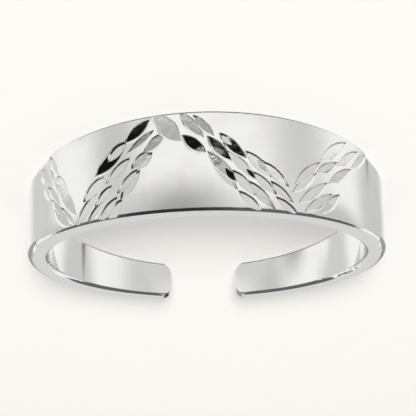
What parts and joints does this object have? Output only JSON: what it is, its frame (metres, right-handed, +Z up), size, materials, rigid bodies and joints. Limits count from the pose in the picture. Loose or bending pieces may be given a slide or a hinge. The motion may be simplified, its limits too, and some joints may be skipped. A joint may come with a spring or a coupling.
{
  "type": "toe ring",
  "caption": "Open adjustable toe ring: a polished band, high and flat-faced in front with a diamond-cut zigzag, tapering to rounded tips at the back.",
  "frame": {"origin": "middle of the bounding box on the surface that the ring rests on", "axes": "+Z up from the resting surface, -Y towards the middle of the wide front face, +X to the right seen from the front"},
  "size_m": [0.0174, 0.0174, 0.0049],
  "materials": {
    "silver": "polished"
  },
  "bodies": {
    "root": {"toe_ring": "silver"}
  },
  "joints": []
}
